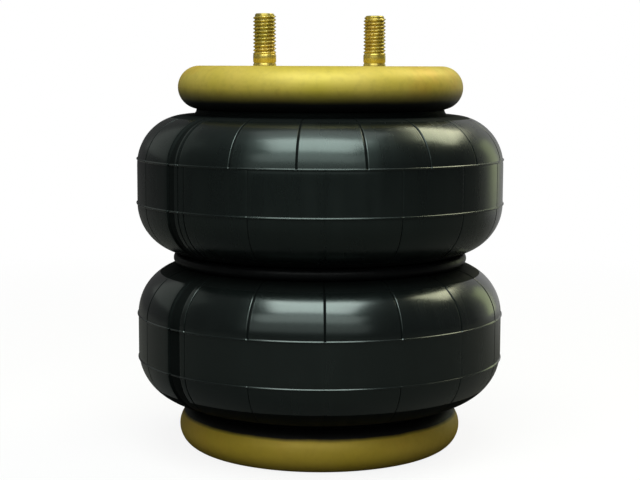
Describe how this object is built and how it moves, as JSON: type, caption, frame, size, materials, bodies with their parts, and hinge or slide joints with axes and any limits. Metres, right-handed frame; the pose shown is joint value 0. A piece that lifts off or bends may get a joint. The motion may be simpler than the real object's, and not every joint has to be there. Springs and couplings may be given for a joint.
{
  "type": "air suspension spring",
  "caption": "Double-convoluted air suspension spring: layered rubber bellows with a girdle hoop between two curled steel bead plates, studs above and blind nuts below.",
  "frame": {"origin": "centre of the lower bead plate's outer face, on the spring's axis, at free height", "axes": "+Z along the spring's axis from the lower plate to the studs; +X along the row of the two studs; +Y towards the air inlet"},
  "size_m": [0.2068, 0.2068, 0.2435],
  "materials": {
    "plate_zinc": "yellow zinc plate, satin",
    "stud_zinc": "yellow zinc plate, bright on the threads",
    "cover_rubber": "moulded black rubber, semi-gloss",
    "ply_cord": "rubber-coated cord fabric",
    "liner_rubber": "smooth black rubber",
    "bead_rubber": "hard black rubber",
    "bump_rubber": "dense black rubber, matte",
    "bead_steel": "bronze-coated steel wire",
    "hoop_black": "black enamel on a round steel bar",
    "bright_fixings": "clear zinc plate"
  },
  "bodies": {
    "lower_end": {"lower_bead_plate": "plate_zinc", "lower_blind_nut_left": "plate_zinc", "lower_blind_nut_right": "plate_zinc", "lower_bead_wire": "bead_steel", "lower_bead_rubber": "bead_rubber", "bump_stop": "bump_rubber", "bump_stop_stud": "bright_fixings", "bump_stop_washer": "bright_fixings", "bump_stop_nut": "bright_fixings", "lower_outer_cover": "cover_rubber", "lower_outer_ply": "ply_cord", "lower_inner_ply": "ply_cord", "lower_inner_liner": "liner_rubber"},
    "girdle": {"girdle_hoop": "hoop_black", "waist_outer_cover": "cover_rubber", "waist_outer_ply": "ply_cord", "waist_inner_ply": "ply_cord", "waist_inner_liner": "liner_rubber"},
    "upper_end": {"upper_bead_plate": "plate_zinc", "mounting_stud_left": "stud_zinc", "mounting_stud_right": "stud_zinc", "air_inlet_bush": "plate_zinc", "upper_bead_wire": "bead_steel", "upper_bead_rubber": "bead_rubber", "upper_outer_cover": "cover_rubber", "upper_outer_ply": "ply_cord", "upper_inner_ply": "ply_cord", "upper_inner_liner": "liner_rubber"}
  },
  "joints": [
    {"name": "lower_convolution_stroke", "type": "slide", "parent": "lower_end", "child": "girdle", "axis": [0, 0, 1], "range_m": [-0.05, 0.01], "stiffness_N_per_m": 8000, "springref_m": 0.0017, "deforming": ["lower_outer_cover", "lower_outer_ply", "lower_inner_ply", "lower_inner_liner"]},
    {"name": "upper_convolution_stroke", "type": "slide", "parent": "girdle", "child": "upper_end", "axis": [0, 0, 1], "range_m": [-0.05, 0.01], "stiffness_N_per_m": 8000, "springref_m": 0.0015, "deforming": ["upper_outer_cover", "upper_outer_ply", "upper_inner_ply", "upper_inner_liner"]}
  ],
  "couplings": [
    {"joint": "lower_convolution_stroke", "follows": "upper_convolution_stroke", "ratio": 1}
  ]
}
